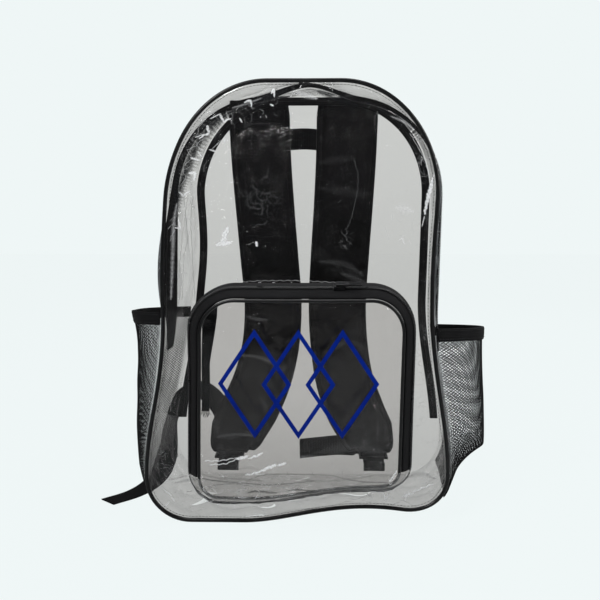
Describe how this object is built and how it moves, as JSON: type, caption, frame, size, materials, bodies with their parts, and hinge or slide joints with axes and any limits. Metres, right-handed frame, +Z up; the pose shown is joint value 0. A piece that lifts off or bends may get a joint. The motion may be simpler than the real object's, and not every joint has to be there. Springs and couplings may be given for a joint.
{
  "type": "clear backpack",
  "caption": "Clear film backpack with black piping, zipped top, front pocket, mesh side pockets, padded shoulder straps and a carry loop.",
  "frame": {"origin": "middle of the base, on the underside of the film that it stands on", "axes": "+Z up, -Y towards the front pocket, +Y towards the shoulder straps, +X to the right as seen from the front"},
  "size_m": [0.4114, 0.2632, 0.4421],
  "materials": {
    "film": "clear glossy vinyl film",
    "trim": "glossy black vinyl piping",
    "tape": "black zipper tape",
    "zip_teeth": "black nylon coil",
    "slider": "black enamel",
    "mesh": "black knitted net",
    "hem": "black elastic binding",
    "strap": "black padded polyester",
    "webbing": "black woven webbing",
    "buckle": "black moulded plastic",
    "print": "blue screen print"
  },
  "bodies": {
    "root": {"front_panel": "film", "back_panel": "film", "base_and_side_wall": "film", "crown_wall_front": "film", "crown_wall_back": "film", "front_piping": "trim", "back_seam_binding": "tape", "zipper_tape": "tape", "zipper_coil": "zip_teeth", "zipper_slider": "slider", "pocket_face": "film", "pocket_foot_wall": "film", "pocket_piping": "trim", "pocket_zipper_tape": "tape", "pocket_zipper_coil": "zip_teeth", "pocket_zipper_slider": "slider", "pocket_inner_tape": "tape", "emblem": "print", "mesh_pocket_left": "mesh", "mesh_pocket_right": "mesh", "mesh_hem_left": "hem", "mesh_hem_right": "hem", "shoulder_strap_left": "strap", "shoulder_strap_right": "strap", "haul_loop": "webbing", "ladder_lock_left": "buckle", "ladder_lock_right": "buckle", "webbing_left": "webbing", "webbing_right": "webbing"}
  },
  "joints": []
}
